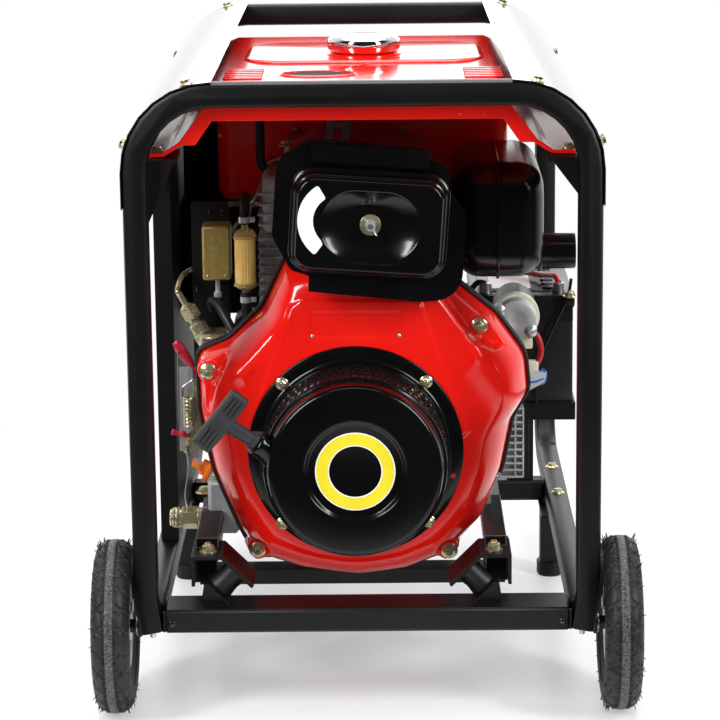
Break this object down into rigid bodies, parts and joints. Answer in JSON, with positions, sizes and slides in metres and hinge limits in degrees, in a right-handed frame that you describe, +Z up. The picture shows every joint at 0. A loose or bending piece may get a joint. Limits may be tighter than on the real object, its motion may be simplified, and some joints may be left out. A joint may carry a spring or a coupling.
{
  "type": "engine driven welder",
  "caption": "Open-frame diesel welder generator on wheels: air-cooled engine with recoil starter, fuel tank, battery, alternator and recessed side control panel.",
  "frame": {"origin": "on the ground, under the middle of the whole machine", "axes": "+Z up, +X to the machine's right as seen from the recoil starter, +Y to its back"},
  "size_m": [0.635, 0.894, 0.7457],
  "materials": {
    "black_paint": "satin black powder coat",
    "gloss_black": "gloss black enamel",
    "red_paint": "gloss red enamel",
    "rubber": "matt black rubber",
    "tyre": "black tyre rubber",
    "cast_aluminium": "cast, lightly blasted",
    "zinc": "yellow zinc plated",
    "chrome": "polished",
    "steel": "machined steel",
    "copper": "varnished copper windings",
    "amber": "translucent amber",
    "black_plastic": "moulded black",
    "orange_plastic": "moulded orange",
    "red_plastic": "moulded red"
  },
  "bodies": {
    "machine": {"front_hoop": "black_paint", "rear_hoop": "black_paint", "left_rail": "black_paint", "right_rail": "black_paint", "front_crossbar": "black_paint", "rear_crossbar": "black_paint", "left_top_guard": "black_paint", "right_top_guard": "black_paint", "left_rear_leg": "black_paint", "right_rear_leg": "black_paint", "left_axle": "steel", "right_axle": "steel", "engine_base": "black_paint", "left_mount_bracket": "black_paint", "right_mount_bracket": "black_paint", "left_front_mount": "rubber", "right_front_mount": "rubber", "left_rear_mount": "rubber", "right_rear_mount": "rubber", "crankcase": "cast_aluminium", "cylinder_block": "cast_aluminium", "cylinder_head": "cast_aluminium", "fan_shroud": "red_paint", "recoil_cover": "gloss_black", "air_filter_box": "gloss_black", "muffler": "black_paint", "injection_pump": "zinc", "solenoid_bracket": "black_paint", "stop_solenoid": "zinc", "fuel_filter": "amber", "fuel_hose": "rubber", "starter_motor": "cast_aluminium", "alternator_housing": "cast_aluminium", "stator_core": "copper", "fuel_tank": "red_paint", "battery_tray": "black_paint", "battery": "black_plastic", "regulator": "cast_aluminium", "control_panel": "black_paint", "control_box": "black_paint", "positive_weld_socket": "black_plastic", "negative_weld_socket": "black_plastic"},
    "left_wheel_set": {"left_wheel": "steel", "left_tyre": "tyre"},
    "right_wheel_set": {"right_wheel": "steel", "right_tyre": "tyre"},
    "crank": {"crankshaft": "steel", "flywheel_fan": "cast_aluminium"},
    "pull_grip": {"recoil_handle": "black_plastic"},
    "tank_cap": {"fuel_cap": "chrome"},
    "filter_cover": {"air_filter_cover": "gloss_black"},
    "filter_nut": {"wing_nut": "zinc"},
    "oil_filler_cap": {"oil_cap": "orange_plastic"},
    "throttle": {"throttle_lever": "red_plastic"},
    "stop": {"stop_lever": "red_plastic"},
    "plunger": {"solenoid_plunger": "steel"},
    "current_control": {"current_knob": "black_plastic"},
    "key": {"key_switch": "chrome"},
    "breaker": {"breaker_lever": "black_plastic"},
    "socket_flap": {"socket_cover": "black_plastic"}
  },
  "joints": [
    {"name": "left_wheel_spin", "type": "hinge", "parent": "machine", "child": "left_wheel_set", "pos_m": [-0.29375, -0.345, 0.102], "axis": [1, 0, 0], "continuous": true},
    {"name": "right_wheel_spin", "type": "hinge", "parent": "machine", "child": "right_wheel_set", "pos_m": [0.29375, -0.345, 0.102], "axis": [1, 0, 0], "continuous": true},
    {"name": "crank_spin", "type": "hinge", "parent": "machine", "child": "crank", "pos_m": [-0.012, -0.079, 0.293], "axis": [0, 1, 0], "continuous": true},
    {"name": "recoil_pull", "type": "slide", "parent": "machine", "child": "pull_grip", "axis": [-0.7202, -0.3893, 0.5742], "range_m": [0, 0.5]},
    {"name": "tank_cap_turn", "type": "hinge", "parent": "machine", "child": "tank_cap", "pos_m": [0, 0.076, 0.7125], "axis": [0, 0, 1], "range_deg": [0, 120]},
    {"name": "filter_cover_slide", "type": "slide", "parent": "machine", "child": "filter_cover", "axis": [0, -1, 0], "range_m": [0, 0.08]},
    {"name": "wing_nut_turn", "type": "hinge", "parent": "filter_cover", "child": "filter_nut", "pos_m": [0.008, -0.3393, 0.5735], "axis": [0, 1, 0], "continuous": true},
    {"name": "oil_cap_turn", "type": "hinge", "parent": "machine", "child": "oil_filler_cap", "pos_m": [-0.1905, -0.164, 0.2392], "axis": [-0.8769, 0, 0.4807], "range_deg": [0, 180]},
    {"name": "throttle_swing", "type": "hinge", "parent": "machine", "child": "throttle", "pos_m": [-0.2, -0.1855, 0.35], "axis": [0, 1, 0], "range_deg": [-20, 20]},
    {"name": "stop_swing", "type": "hinge", "parent": "machine", "child": "stop", "pos_m": [-0.214, -0.1855, 0.284], "axis": [0, 1, 0], "range_deg": [-25, 25]},
    {"name": "plunger_pull", "type": "slide", "parent": "machine", "child": "plunger", "axis": [0, 0, 1], "range_m": [0, 0.008]},
    {"name": "current_turn", "type": "hinge", "parent": "machine", "child": "current_control", "pos_m": [-0.2398, 0.021, 0.43], "axis": [-1, 0, 0], "range_deg": [-135, 135]},
    {"name": "key_turn", "type": "hinge", "parent": "machine", "child": "key", "pos_m": [-0.2398, -0.039, 0.52], "axis": [-1, 0, 0], "range_deg": [0, 90]},
    {"name": "breaker_flip", "type": "hinge", "parent": "machine", "child": "breaker", "pos_m": [-0.245, 0.091, 0.52], "axis": [0, 1, 0], "range_deg": [-28, 0]},
    {"name": "socket_flap_swing", "type": "hinge", "parent": "machine", "child": "socket_flap", "pos_m": [-0.244, 0.241, 0.427], "axis": [0, 1, 0], "range_deg": [0, 110]}
  ]
}
